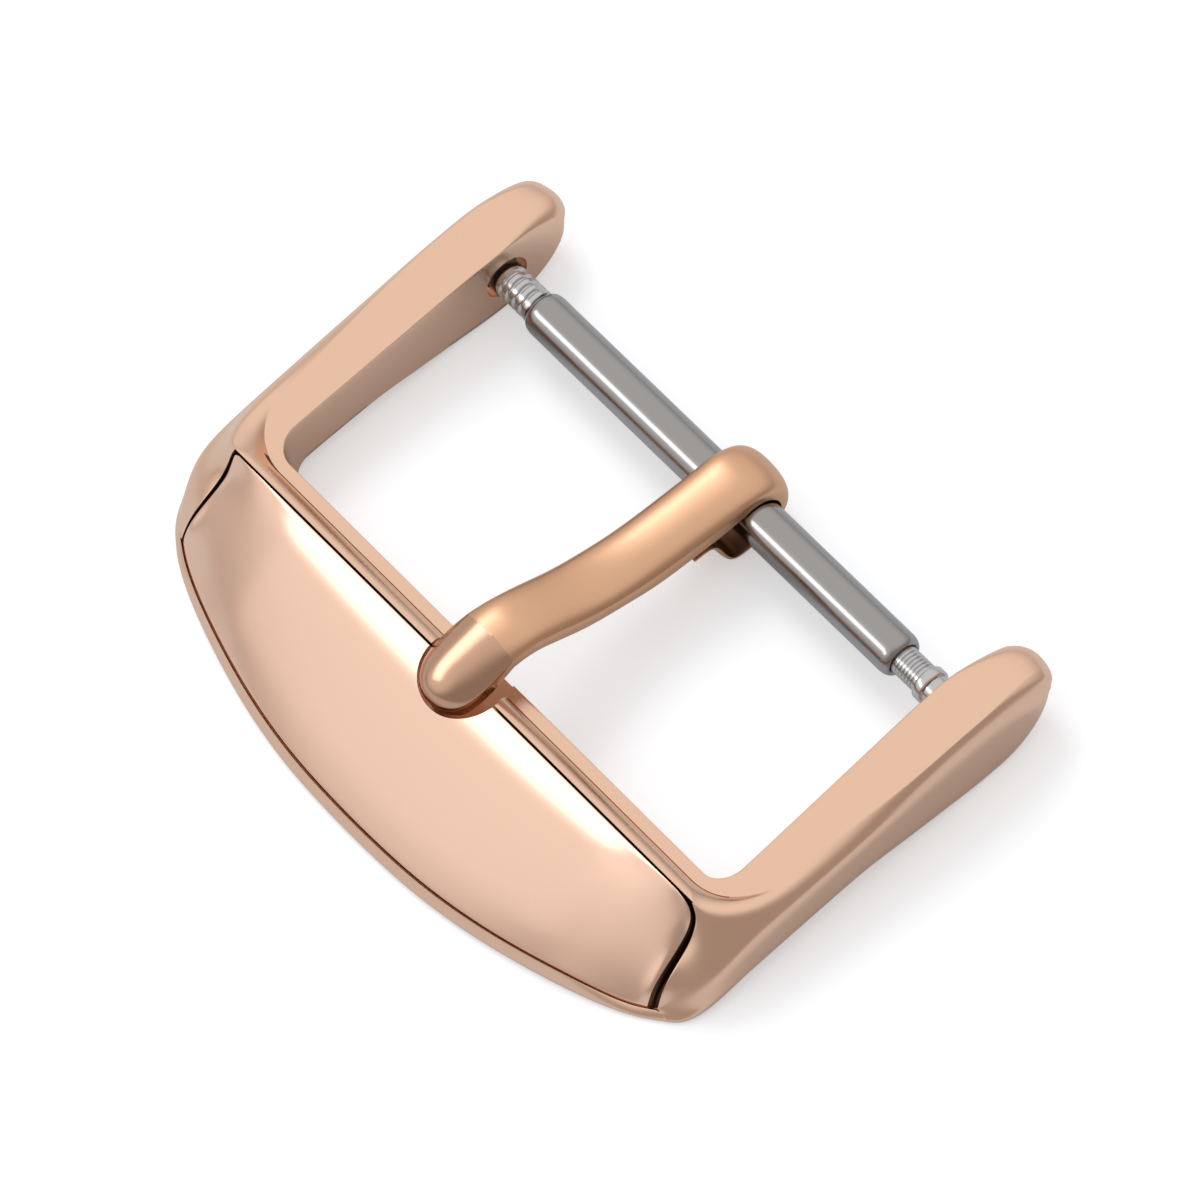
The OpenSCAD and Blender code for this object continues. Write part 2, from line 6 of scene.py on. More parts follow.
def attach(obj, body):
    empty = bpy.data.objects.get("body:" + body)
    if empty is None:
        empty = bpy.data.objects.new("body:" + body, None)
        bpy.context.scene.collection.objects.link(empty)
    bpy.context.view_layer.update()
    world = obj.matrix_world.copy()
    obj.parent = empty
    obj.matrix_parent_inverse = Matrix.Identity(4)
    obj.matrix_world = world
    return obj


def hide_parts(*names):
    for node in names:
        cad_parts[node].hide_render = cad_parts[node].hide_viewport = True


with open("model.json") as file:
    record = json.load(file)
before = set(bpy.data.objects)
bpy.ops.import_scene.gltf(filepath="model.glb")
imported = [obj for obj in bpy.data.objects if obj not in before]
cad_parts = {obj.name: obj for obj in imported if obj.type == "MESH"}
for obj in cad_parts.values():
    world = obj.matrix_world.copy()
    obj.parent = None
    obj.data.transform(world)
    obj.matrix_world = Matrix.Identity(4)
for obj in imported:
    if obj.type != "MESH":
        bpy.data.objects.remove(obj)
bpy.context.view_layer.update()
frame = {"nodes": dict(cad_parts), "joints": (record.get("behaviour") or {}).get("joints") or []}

MM = 0.001

# Sizes in millimetres about the axis of the spring bar, the same as in the part's source
STRAP_GAP = 18.0
GAP_FLARE = 0.2
WINDOW_LENGTH = 7.85
WINDOW_FILLET = 0.8
ARM_WIDTH = 1.86
FRONT_DEPTH = 5.61
RIM_HEIGHT = 1.14
RIM_BAND = 0.36
BEAD_WIDTH = 0.5
BEAD_RISE = 0.7
LOBE_DROP = 1.24
LIP_DROP = 0.59
LOBE_REACH = 2.4
PLATE_THICKNESS = 0.4
PLATE_FILM = 0.03
PLATE_MARGIN = 1.41
LIP_SETBACK = 0.28
LEFT_CORNER = 0.12
RIGHT_CORNER = 0.45
NOTCH_RADIUS = 1.3
NOTCH_LENGTH = 2.08
NOTCH_FLOOR = 0.75
NOTCH_LEFT = -1.5
NOTCH_RIGHT = 0.85
LEFT_HOLE = 0.54
RIGHT_HOLE = 0.475
HOLE_DEPTH = 1.0
MOUTH_DEPTH = 0.25
MOUTH_STEP = 0.14
BORE = 0.72
LOOP_THICKNESS = 0.5
TONGUE_SHIFT = 0.45
TONGUE_YAW = 3.2

# Grooves and end roundings of the plate: all but RIGHT_GROOVE differ from the part's source
PLATE_GROOVE = 0.055
FRONT_GROOVE = 0.045
LEFT_GROOVE = 0.05
RIGHT_GROOVE = 0.17
LEFT_ROUND = 0.14
RIGHT_ROUND = 0.34

# Details of the drawing
EDGE_ROUND = 0.06
PLATE_EDGE = 0.03
PLATE_SLANT = 0.22
INSET_FROM, INSET_FADE = 0.87, 0.13
SEAT_THIN, SEAT_THIN_FROM, SEAT_LEAN = 0.5, 0.6, 0.5
NOTCH_TALL = 3
BORE_REACH = 3
SMOOTH_LEVELS = 3
SHARP_ANGLE, TIP_SHARP_ANGLE = 40, 50

HALF_GAP = STRAP_GAP / 2
HALF_WIDTH = HALF_GAP + ARM_WIDTH
FRONT_Y = -(WINDOW_LENGTH + FRONT_DEPTH)
CREASE_Y = -(WINDOW_LENGTH + RIM_BAND)
RIDGE_Y = CREASE_Y - BEAD_WIDTH
PLATE_REAR_Y = RIDGE_Y - PLATE_GROOVE
RIDGE_Z = RIM_HEIGHT + BEAD_RISE
PLATE_HALF = HALF_WIDTH - PLATE_MARGIN
CORNER_X = HALF_GAP + GAP_FLARE - WINDOW_FILLET
CORNER_BACK = WINDOW_LENGTH - WINDOW_FILLET
TILT = math.atan((LOBE_DROP - LIP_DROP) / -FRONT_Y)
BAR = Vector(next(j for j in frame["joints"] if j["name"] == "tongue_swing")["pos_m"])


def laid(p):
    """A point of the drawing, in millimetres about the bar, where it lies on the table, in metres."""
    c, s = math.cos(TILT), math.sin(TILT)
    return Vector((p[0] * MM, (p[1] * c - p[2] * s) * MM, (p[1] * s + p[2] * c) * MM)) + BAR


def rest_z(y):
    return -LOBE_DROP - y * math.tan(TILT)


def mix(a, b, t):
    if isinstance(a, (tuple, list)):
        return tuple(u + (v - u) * t for u, v in zip(a, b))
    return a + (b - a) * t


def smooth(t):
    t = min(max(t, 0.0), 1.0)
    return t * t * (3 - 2 * t)


def curve(keys, u):
    """A smooth line through the keys, each (place, value or values)."""
    n = len(keys)
    i = 0
    while i < n - 2 and u >= keys[i + 1][0]:
        i += 1

    def slope(k):
        a, b = max(k - 1, 0), min(k + 1, n - 1)
        return [(q - p) / (keys[b][0] - keys[a][0]) for p, q in zip(keys[a][1], keys[b][1])]

    h = keys[i + 1][0] - keys[i][0]
    t = (u - keys[i][0]) / h
    t2, t3 = t * t, t * t * t
    s0, s1 = slope(i), slope(i + 1)
    return [a * (2 * t3 - 3 * t2 + 1) + c * h * (t3 - 2 * t2 + t) + b * (3 * t2 - 2 * t3) + d * h * (t3 - t2)
            for a, b, c, d in zip(keys[i][1], keys[i + 1][1], s0, s1)]


OUTLINE = [(0, (0,)), (0.19, (0.05,)), (0.33, (0.21,)), (0.47, (0.49,)), (0.63, (0.94,)),
           (0.74, (1.32,)), (0.82, (1.66,)), (0.88, (2.0,)), (0.93, (2.38,))]
OUTLINE_END = 0.926
FACE_MID = [(0, (0, 0)), (0.2, (0.2, -0.09)), (0.39, (0.39, -0.39)), (0.62, (0.62, -0.89)),
            (0.86, (0.86, -1.49)), (1, (1, -1.99))]
FACE_END = [(0, (0, 0)), (0.12, (0.07, -0.3)), (0.3, (0.25, -0.84)), (0.5, (0.46, -1.14)),
            (0.7, (0.7, -1.43)), (0.86, (0.88, -1.78)), (0.95, (0.97, -2.05)), (1, (1, -2.25))]
END_START = 0.74
FACE_STEPS = [0, 0.06, 0.13, 0.27, 0.45, 0.65, 0.84, 1]


def outline_y(x):
    return FRONT_Y + curve(OUTLINE, abs(x) / HALF_WIDTH)[0]


def plate_x(s, v):
    return s * (PLATE_HALF + PLATE_SLANT * v)


END_DEPTH = PLATE_REAR_Y - outline_y(plate_x(1, 1)) - LIP_SETBACK


def inset(s, v):
    """How far the plate's ends draw in where its rear corners are rounded."""
    r = RIGHT_CORNER if s > 0 else LEFT_CORNER
    away = max(0, r - END_DEPTH * v)
    return math.copysign((r - math.sqrt(r * r - away * away)) * smooth((abs(s) - INSET_FROM) / INSET_FADE), s)


def face_point(s, v):
    w = smooth((abs(s) - END_START) / (1 - END_START))
    p = mix(curve(FACE_MID, v), curve(FACE_END, v), w)
    front = outline_y(plate_x(s, 1)) + LIP_SETBACK
    return (plate_x(s, v) - inset(s, v), mix(PLATE_REAR_Y, front, p[0]), RIDGE_Z + p[1])


def seat_point(s, v, film):
    p = face_point(s, v)
    t = PLATE_THICKNESS * mix(1, SEAT_THIN, smooth((v - SEAT_THIN_FROM) / (1 - SEAT_THIN_FROM))) - film
    lean = SEAT_LEAN * smooth(2.5 * v)
    return (p[0], p[1] + t * lean, p[2] - t * math.sqrt(1 - lean * lean))


INNER_LOW_Z = -0.55
UNDER_SLOPE = 0.2
# The bead's rising side: shares across, backwards and upwards
BEAD_SIDE = [(0.1, 0.1, 0.26), (0.25, 0.25, 0.53), (0.45, 0.46, 0.78), (0.72, 0.74, 0.95)]


def front_section(s, pocket):
    xa = s * CORNER_X
    xb = s * (PLATE_HALF + PLATE_GROOVE) - 0.8 * inset(s, 0)
    e = s * OUTLINE_END * HALF_WIDTH
    lip = outline_y(e)
    ledge = face_point(s, 1)
    r = EDGE_ROUND
    seat = [seat_point(s, v, 0) if pocket else face_point(s, v) for v in FACE_STEPS]
    nose = (mix(ledge[0], e, 0.5), mix(ledge[1], lip, 0.62), mix(ledge[2], -LIP_DROP, 0.42))
    ring = [(xa, -WINDOW_LENGTH, INNER_LOW_Z), (xa, -WINDOW_LENGTH, RIM_HEIGHT - r),
            (xa, -WINDOW_LENGTH - 0.3 * r, RIM_HEIGHT - 0.3 * r), (xa, -WINDOW_LENGTH - r, RIM_HEIGHT),
            (xa, -WINDOW_LENGTH - 0.3 * RIM_BAND, RIM_HEIGHT),
            (xa, -WINDOW_LENGTH - 0.6 * RIM_BAND, RIM_HEIGHT), (xa, CREASE_Y, RIM_HEIGHT)]
    ring += [(mix(xa, xb, a), mix(CREASE_Y, RIDGE_Y, b), RIM_HEIGHT + c * BEAD_RISE) for a, b, c in BEAD_SIDE]
    ring += [(xb, RIDGE_Y, RIDGE_Z), (xb, RIDGE_Y if pocket else mix(RIDGE_Y, PLATE_REAR_Y, 0.5), seat[0][2])]
    ring += seat[1:]
    if pocket:
        ring += [(seat[7][0], seat[7][1] - FRONT_GROOVE, seat[7][2]),
                 (ledge[0], ledge[1] - FRONT_GROOVE, ledge[2] - 0.02)]
    else:
        ring += [mix(ledge, nose, 0.25), mix(ledge, nose, 0.6)]
    ring += [nose,
             (e, lip, mix(ledge[2], rest_z(lip), 0.78)), (e, lip + 0.04, rest_z(lip + 0.04)),
             (mix(xa, e, 0.6), mix(lip, -WINDOW_LENGTH, 0.2), rest_z(mix(lip, -WINDOW_LENGTH, 0.2))),
             (xa, mix(lip, -WINDOW_LENGTH, 0.62), rest_z(mix(lip, -WINDOW_LENGTH, 0.62))),
             (xa, -WINDOW_LENGTH - UNDER_SLOPE, INNER_LOW_Z - 0.06)]
    return ring


ARM_SHARES = [(0, 0), (0, 0.965), (0.012, 0.989), (0.035, 1), (0.17, 1), (0.43, 1), (0.78, 1),
              (0.8, 0.992), (0.82, 0.982), (0.84, 0.97), (0.86, 0.957), (0.88, 0.942),
              (0.9, 0.925), (0.92, 0.905), (0.94, 0.88), (0.955, 0.86),
              (0.97, 0.835), (0.985, 0.8), (0.995, 0.75), (1, 0.7),
              (1, 0.58), (1, 0.46), (1, 0.33), (1, 0.2),
              (0.96, 0.05), (0.86, 0), (0.5, 0), (0.2, 0)]
ARM_LEAD = [0, 0, 0, 0, 0.3, 0.6, 1, 1, 0.95, 0.9, 0.85, 0.75, 0.6, 0.4, 0.1, -0.2,
            -0.45, -0.65, -0.8, -0.9, -0.95, -1, -1, -1, -1, -0.9, -0.6, -0.3]
LEAD_BACK = 0.75
LEFT_LEAD = 1.9
RIGHT_LEAD = 1.4
SHOULDER = 0.78
TOP_BACK, TOP_FRONT = 0.84, 0.64
NARROWING_FROM, NARROWING_LENGTH = 1.5, 5.5
ARM_FRONT_Y = -8
TOP = [(-8, (0,)), (-7, (0,)), (-4, (0.06,)), (-1, (0.12,)), (0, (0.08,))]
BOTTOM = [(-8, (0.64,)), (-4.7, (0.64,)), (-3.3, (0.42,)), (-2, (0.24,)), (-0.9, (0.05,)), (0, (-0.02,))]
LOBE = [(0, (0.85,)), (0.12, (0.98,)), (0.4, (1.06,)), (0.75, (0.98,)), (0.93, (0.8,)), (1, (0.62,))]
LOBE_MIDDLE = 0.1
LOBE_TOP_POWER, LOBE_BOTTOM_POWER = 0.9, 1.2
SOFTENING = (0.6, 0.25)
EDGE_GROWTH = {1: (0, -0.2), 2: (0.04, -0.08), 3: (0.12, -0.01), 4: (0.12, 0)}
SHOULDER_POINT, SIDE_POINT = 6, 20


def arm_top(y):
    return RIM_HEIGHT + curve(TOP, max(y, ARM_FRONT_Y))[0]


def arm_bottom(y):
    return max(curve(BOTTOM, max(y, ARM_FRONT_Y))[0] - LOBE_DROP, rest_z(y))


def arm_inner(y):
    return HALF_GAP + GAP_FLARE * min(max(-y / WINDOW_LENGTH, 0), 1)


def spread(share, y):
    """The flat top is narrower at the front corner and widens towards the lobe."""
    edge = mix(TOP_BACK, TOP_FRONT, smooth((-y - NARROWING_FROM) / NARROWING_LENGTH))
    if share <= SHOULDER:
        return share * edge / SHOULDER
    return mix(edge, 1, (share - SHOULDER) / (1 - SHOULDER))


def arm_point(share, y, top, bottom):
    return (mix(arm_inner(y), HALF_WIDTH, spread(share[0], y)), y, mix(bottom, top, share[1]))


def corner_end(i, side):
    front = RIGHT_LEAD if side > 0 else LEFT_LEAD
    y = -CORNER_BACK + (LEAD_BACK if ARM_LEAD[i] > 0 else front) * ARM_LEAD[i]
    return arm_point(ARM_SHARES[i], y, arm_top(y), arm_bottom(y))


def bend(a, da, b, db, t):
    """A smooth line from a to b that leaves along da and arrives along db."""
    a, b = Vector(a), Vector(b)
    da, db = Vector(da).normalized(), Vector(db).normalized()
    turn = max(da.angle(db), 0.2)
    pull = 4 * math.tan(turn / 4) / math.sin(min(turn, math.pi / 2))
    ta = da * pull * abs((b - a).dot(da))
    tb = db * pull * abs((b - a).dot(db))
    t2, t3 = t * t, t * t * t
    return tuple(a * (2 * t3 - 3 * t2 + 1) + ta * (t3 - 2 * t2 + t) + b * (3 * t2 - 2 * t3) + tb * (t3 - t2))


def corner_section(t, start, before, side):
    ring = []
    for i, a in enumerate(start):
        x, y, z = corner_end(i, side)
        ring.append(bend(a, Vector(a) - Vector(before[i]), (side * x, y, z), (0, 1, 0), t))
    return ring


def arm_section(y):
    return [arm_point(s, y, arm_top(y), arm_bottom(y)) for s in ARM_SHARES]


def softened(j, w):
    """The share of ring point j on the lobe, whose edges grow rounder by w towards its end."""
    x, z = ARM_SHARES[j]
    if j in EDGE_GROWTH:
        return x + EDGE_GROWTH[j][0] * w, z + EDGE_GROWTH[j][1] * w
    if SHOULDER_POINT <= j < SIDE_POINT:
        return 1 - (1 - x) * (1 + SOFTENING[0] * w), 1 - (1 - z) * (1 + SOFTENING[1] * w)
    return x, z


def lobe_section(a):
    a = math.radians(a)
    w = smooth(math.sin(a))
    top = mix(LOBE_MIDDLE, arm_top(0), math.cos(a) ** LOBE_TOP_POWER)
    bottom = mix(LOBE_MIDDLE, arm_bottom(0), math.cos(a) ** LOBE_BOTTOM_POWER)
    ring = []
    for s in [softened(j, w) for j in range(len(ARM_SHARES))]:
        y = math.sin(a) * LOBE_REACH * curve(LOBE, s[0])[0]
        p = arm_point(s, y, top, bottom)
        ring.append((p[0], p[1], max(p[2], rest_z(y))))
    return ring


def mirrored(ring):
    return [(-p[0], p[1], p[2]) for p in ring]


def strip(ring):
    """Triangles that close the end of a skin, from its first and last points onwards."""
    i, j, faces = 0, len(ring) - 1, []
    while i + 1 < j:
        if abs(ring[i + 1][0]) <= abs(ring[j - 1][0]):
            faces.append((i, i + 1, j))
            i += 1
        else:
            faces.append((i, j - 1, j))
            j -= 1
    return faces


def added(name, bm):
    """Puts a closed mesh in the scene, with its faces looking outwards."""
    bm.normal_update()
    if bm.calc_volume(signed=True) < 0:
        bmesh.ops.reverse_faces(bm, faces=bm.faces)
    mesh = bpy.data.meshes.new(name)
    bm.to_mesh(mesh)
    bm.free()
    obj = bpy.data.objects.new(name, mesh)
    bpy.context.scene.collection.objects.link(obj)
    return obj


def skin(name, rings, creases, cross, shade_ranges=()):
    """A closed mesh over rings of points. creases[k] gives the edge weights along the skin from
    ring k, and cross[k] the weight of ring k itself. The faces in the ranges of rings and points
    that shade_ranges lists get the second material, a painted shade."""
    m = len(rings[0])
    bm = bmesh.new()
    rows = [[bm.verts.new(laid(p)) for p in ring] for ring in rings]
    layer = bm.edges.layers.float.new("crease_edge")
    for k in range(len(rows) - 1):
        for j in range(m):
            h = (j + 1) % m
            face = bm.faces.new((rows[k][j], rows[k][h], rows[k + 1][h], rows[k + 1][j]))
            face.material_index = int(any(k in ks and j in js for ks, js in shade_ranges))
    for a, b, c in strip(rings[0]):
        bm.faces.new((rows[0][a], rows[0][c], rows[0][b]))
    for a, b, c in strip(rings[-1]):
        face = bm.faces.new((rows[-1][a], rows[-1][b], rows[-1][c]))
        face.material_index = int(any(len(rows) - 2 in ks for ks, js in shade_ranges))
    bm.edges.ensure_lookup_table()
    for k in range(len(rows)):
        for j in range(m):
            if k + 1 < len(rows):
                edge = bm.edges.get((rows[k][j], rows[k + 1][j]))
                edge[layer] = min(creases[k][j], creases[k + 1][j])
            if cross[k]:
                edge = bm.edges.get((rows[k][j], rows[k][(j + 1) % m]))
                edge[layer] = cross[k]
    obj = added(name, bm)
    for _ in range(2):
        obj.data.materials.append(None)
    return obj


def apply_modifiers(obj):
    deps = bpy.context.evaluated_depsgraph_get()
    mesh = bpy.data.meshes.new_from_object(obj.evaluated_get(deps))
    obj.modifiers.clear()
    obj.data = mesh


def settle(obj, angle):
    """Shades the faces of the final mesh smooth, with sharp edges above the angle."""
    apply_modifiers(obj)
    for f in obj.data.polygons:
        f.use_smooth = True
    obj.data.set_sharp_from_angle(angle=math.radians(angle))
    return obj


def cutter(name, build):
    bm = bmesh.new()
    build(bm)
    return added(name, bm)


def close_between(bm, a, b):
    """The faces of a closed piece between two rings with the same number of corners."""
    bm.faces.new(a[::-1])
    bm.faces.new(b)
    for i in range(len(a)):
        j = (i + 1) % len(a)
        bm.faces.new((a[i], a[j], b[j], b[i]))


def prism(bm, outline, low, high):
    """A closed prism over a list of (x, y), from low to high, in the drawing's millimetres."""
    a, b = ([bm.verts.new(laid((x, y, z))) for x, y in outline] for z in (low, high))
    close_between(bm, a, b)


def rod(bm, r, x0, x1, sides=96):
    """A closed cylinder along the bar."""
    turns = [2 * math.pi * k / sides for k in range(sides)]
    a, b = ([bm.verts.new(laid((x, r * math.cos(t), r * math.sin(t)))) for t in turns] for x in (x0, x1))
    close_between(bm, a, b)


def notch_outline():
    r = NOTCH_RADIUS
    cy = -WINDOW_LENGTH - NOTCH_LENGTH + r
    arc = [(r * math.cos(math.radians(a)), cy + r * math.sin(math.radians(a))) for a in range(180, 361, 3)]
    return arc + [(NOTCH_RIGHT, -WINDOW_LENGTH), (NOTCH_RIGHT, -WINDOW_LENGTH + 1),
                  (NOTCH_LEFT, -WINDOW_LENGTH + 1), (NOTCH_LEFT, -WINDOW_LENGTH)]


def notch(bm):
    prism(bm, notch_outline(), NOTCH_FLOOR, NOTCH_FLOOR + NOTCH_TALL)


def cut(obj, tool):
    mod = obj.modifiers.new("cut", "BOOLEAN")
    mod.operation = "DIFFERENCE"
    mod.solver = "EXACT"
    mod.object = tool
    apply_modifiers(obj)
    bpy.data.objects.remove(tool)


def subdivide(obj):
    mod = obj.modifiers.new("smooth", "SUBSURF")
    mod.levels = SMOOTH_LEVELS
    mod.render_levels = SMOOTH_LEVELS
    mod.boundary_smooth = "ALL"
    apply_modifiers(obj)


# Frame: rings from the left lobe round the front to the right lobe
FRONT_STEPS = [0, 0.12, 0.25, 0.38, 0.5, 0.6, 0.68, 0.76, 0.83, 0.89, 0.93, 0.955, 0.975]
CORNER_STEPS = [k / 10 for k in range(1, 11)]
ARM_STEPS = [-0.71, -0.6, -0.48, -0.37, -0.255, -0.17, -0.085, 0]
LOBE_STEPS = [10, 20, 30, 40, 50, 60, 69, 77, 83, 87.5]
# Places along a ring: the crease round the window, the bead's top, the pocket's end, the face's end
RIM_CREASE, BEAD_TOP, POCKET_END, FACE_LAST = 6, 11, 19, 23
RIM_WEIGHT = (0.92, 0.7)
in_front = [0.9, 0, 0.3, 0, 0, 0, RIM_WEIGHT[0], 0, 0, 0, 0, 0.75, 1, 0,
            0, 0, 0, 0, 0, 1, 1, 0.8, 0, 0.2, 0.7, 0, 0, 0.5]
on_arm = [0.9, 0, 0.3] + [0] * 21 + [0.3, 0, 0, 0]
# For each side the lines from and to which the corner is evened out, and how often
CORNER_LINES = {-1: (8, 22, 4), 1: (8, 23, 9)}
# How many rings the painted shade in the crease goes on past the pocket
CREASE_LEFT, CREASE_RIGHT = 3, 5
DIRECTION_STEP = 0.01
WALL_STEP = 0.0005


def arm_weights(crease):
    return on_arm[:RIM_CREASE] + [crease] + on_arm[RIM_CREASE + 1:]


def corner_weights(t):
    fade = max(0, 1 - 6 * t)
    ring = [mix(a, b, 1 - fade if BEAD_TOP <= j <= FACE_LAST else t)
            for j, (a, b) in enumerate(zip(in_front, on_arm))]
    return ring[:RIM_CREASE] + [mix(*RIM_WEIGHT, t)] + ring[RIM_CREASE + 1:]


def relax(rings, first, last, low, high, rounds):
    """Evens out the points of some rings between rings and lines that stay."""
    for _ in range(rounds):
        old = [list(ring) for ring in rings]
        for k in range(first, last):
            for j in range(low, high):
                near = [sum(v) / 4 for v in zip(old[k - 1][j], old[k + 1][j], old[k][j - 1], old[k][j + 1])]
                rings[k][j] = mix(tuple(old[k][j]), tuple(near), 0.5)


def frame_side(side):
    """The rings of one half of the frame, from beside the middle to the end of the lobe."""
    groove = RIGHT_GROOVE if side > 0 else LEFT_GROOVE
    end = 1 + groove / PLATE_HALF
    rows = [(front_section(side * s, True), in_front, 0) for s in FRONT_STEPS[1:]]
    start = front_section(side * end, False)
    before = front_section(side * (end - DIRECTION_STEP), False)
    rows += [(front_section(side * (end - WALL_STEP), True), in_front, 1), (start, in_front, 0.93)]
    rows += [(corner_section(t, start, before, side), corner_weights(t), 0) for t in CORNER_STEPS]
    corner = len(FRONT_STEPS) + 1
    for y in ARM_STEPS:
        ring = arm_section(y * CORNER_BACK)
        rows.append((ring if side > 0 else mirrored(ring), arm_weights(-0.8 * y), 0))
    for a in LOBE_STEPS:
        ring = lobe_section(a)
        rows.append((ring if side > 0 else mirrored(ring), arm_weights(0), 0))
    relax([row[0] for row in rows], corner, corner + len(CORNER_STEPS) + 1, *CORNER_LINES[side])
    return rows


rows = frame_side(-1)[::-1] + [(front_section(0, True), in_front, 0)] + frame_side(1)
half = len(rows) // 2
front_rings = len(FRONT_STEPS)
# Faces painted dark as shade: the walls of the groove between the plate and the frame, and a strip along the
# rim's crease
pocket_shade = (range(half - front_rings - 1, half + front_rings + 1), range(BEAD_TOP, POCKET_END))
crease_shade = (range(half - front_rings - CREASE_LEFT, half + front_rings + CREASE_RIGHT), (RIM_CREASE,))
body = skin("gold_frame", *zip(*rows), shade_ranges=(pocket_shade, crease_shade))
subdivide(body)
cut(body, cutter("notch", notch))
for side, r in ((-1, LEFT_HOLE), (1, RIGHT_HOLE)):
    for grow, depth in ((0, HOLE_DEPTH), (MOUTH_STEP, MOUTH_DEPTH)):
        ends = sorted((side * (HALF_GAP - 1), side * (HALF_GAP + depth)))
        cut(body, cutter("hole", lambda bm: rod(bm, r + grow, *ends)))
settle(body, SHARP_ANGLE)

# Plate
PLATE_ENDS = {-1: LEFT_ROUND, 1: RIGHT_ROUND}
TOP_STEPS = [0, 0.02, 0.06, 0.13, 0.2, 0.27, 0.45, 0.65, 0.84, 1]
# Rings at each end that are evened out, and then the lines from and to which, and how often
END_RINGS = (4, 10)
END_LINES = (2, 9, 6)


def plate_steps(side):
    start = 1 - PLATE_ENDS[side] / PLATE_HALF
    return [side * s for s in FRONT_STEPS[:-2] + [0.95] + [mix(start, 1, t) for t in (0, 0.5, 0.8, 0.95, 1)]]


def plate_ring(s):
    r = PLATE_EDGE
    roundness = PLATE_ENDS[1 if s > 0 else -1]
    start = 1 - roundness / PLATE_HALF
    t = max(0, (abs(s) - start) / (1 - start))
    fall = 1 - math.sqrt(1 - t * t)
    ring = []
    for v in TOP_STEPS:
        x, y, z = face_point(s, v)
        z -= fall * roundness * mix(1, 0.2, smooth(2 * v - 1))
        ring.append((x, y + r if v == 1 else y, z - r if v == 0 else z))
    last = ring[-1]
    ring.append((last[0], last[1], last[2] - r))
    return ring + [seat_point(s, v, PLATE_FILM) for v in FACE_STEPS[::-1]]


plate_rings = [plate_ring(s) for s in plate_steps(-1)[:0:-1] + plate_steps(1)]
plate_weights = [0.5, 0, 0, 0, 0, 0, 0, 0, 0, 0.3, 0.5, 1, 0, 0, 0, 0, 0, 0, 1]
count = len(plate_rings)
for first, last in (END_RINGS, (count - END_RINGS[1], count - END_RINGS[0])):
    relax(plate_rings, first, last, *END_LINES)
# The last faces and the end cap of the plate's right end are painted dark as the shade of the gap beside them
plate = skin("gold_plate", plate_rings, [plate_weights] * count, [0.6] + [0] * (count - 2) + [0.6],
             shade_ranges=((range(count - 3, count - 1), range(len(plate_rings[0]))),))
subdivide(plate)
cut(plate, cutter("notch", notch))
settle(plate, SHARP_ANGLE)

# Tongue
BLADE = [((-9.83, 1.42), (-9.83, 1.8), 0.25), ((-9.75, 1.36), (-9.77, 2.06), 0.5),
         ((-9.52, 1.36), (-9.58, 2.28), 0.8), ((-9.14, 1.48), (-9.2, 2.44), 1.0),
         ((-8.6, 1.64), (-8.62, 2.54), 1.05), ((-8.1, 1.84), (-8.06, 2.64), 1.03),
         ((-7.62, 2.04), (-7.56, 2.7), 0.98), ((-7.1, 2.06), (-7.0, 2.66), 0.95),
         ((-6.6, 1.86), (-6.45, 2.5), 0.94), ((-6.1, 1.6), (-5.9, 2.26), 0.95),
         ((-5.5, 1.3), (-5.25, 1.94), 0.95), ((-4.9, 1.1), (-4.65, 1.7), 0.95),
         ((-4.2, 0.92), (-4.0, 1.52), 0.95), ((-3.3, 0.66), (-3.2, 1.38), 0.95),
         ((-2.3, 0.6), (-2.3, 1.3), 0.95), ((-1.2, 0.58), (-1.2, 1.26), 0.95),
         ((-0.5, 0.6), (-0.5, 1.22), 0.95)]
SHOULDER_RING = 6
TIP_SHIFT = -0.1
FOLD = [((-0.06, -0.82), (-0.06, -1.1)), ((-0.48, -0.86), (-0.5, -1.07)),
        ((-0.78, -0.87), (-0.82, -1.07)), ((-1.0, -0.77), (-1.1, -0.95)),
        ((-1.1, -0.55), (-1.25, -0.65)), ((-1.17, -0.25), (-1.33, -0.3)),
        ((-1.23, 0.08), (-1.39, 0.04)), ((-1.3, 0.3), (-1.45, 0.2)),
        ((-1.42, 0.43), (-1.54, 0.29)), ((-1.62, 0.47), (-1.68, 0.31)),
        ((-1.98, 0.47), (-1.98, 0.32)), ((-2.02, 0.44), (-2.02, 0.36))]
CROWN = [(-1, 0), (-1, 0.42), (-0.95, 0.62), (-0.8, 0.8), (-0.55, 0.92), (-0.25, 0.985),
         (0.25, 0.985), (0.55, 0.92), (0.8, 0.8), (0.95, 0.62), (1, 0.42), (1, 0)]
HALF_TONGUE = 0.95
LOOP_INSET = 0.06
LOOP_THIN, LOOP_SWELL = 0.7, 0.24
TIP_FROM, TIP_FADE = 6.8, 1.6
CROWN_SHARE = 0.93
stations = list(BLADE)
strip_in, strip_out = BORE - LOOP_INSET, BORE + LOOP_THICKNESS
for a in range(90, -71, -20):
    swell = LOOP_SWELL * smooth((80 - a) / 60) * smooth((a + 60) / 60)
    thin = mix(1, LOOP_THIN, smooth((10 - a) / 80)) + swell
    c, s = math.cos(math.radians(a)), math.sin(math.radians(a))
    out = mix(strip_in, strip_out, thin)
    stations.append(((strip_in * c, strip_in * s), (out * c, out * s), HALF_TONGUE))
stations += [(f[0], f[1], HALF_TONGUE) for f in FOLD]
turn = Matrix.Rotation(math.radians(-TONGUE_YAW), 3, "Z")


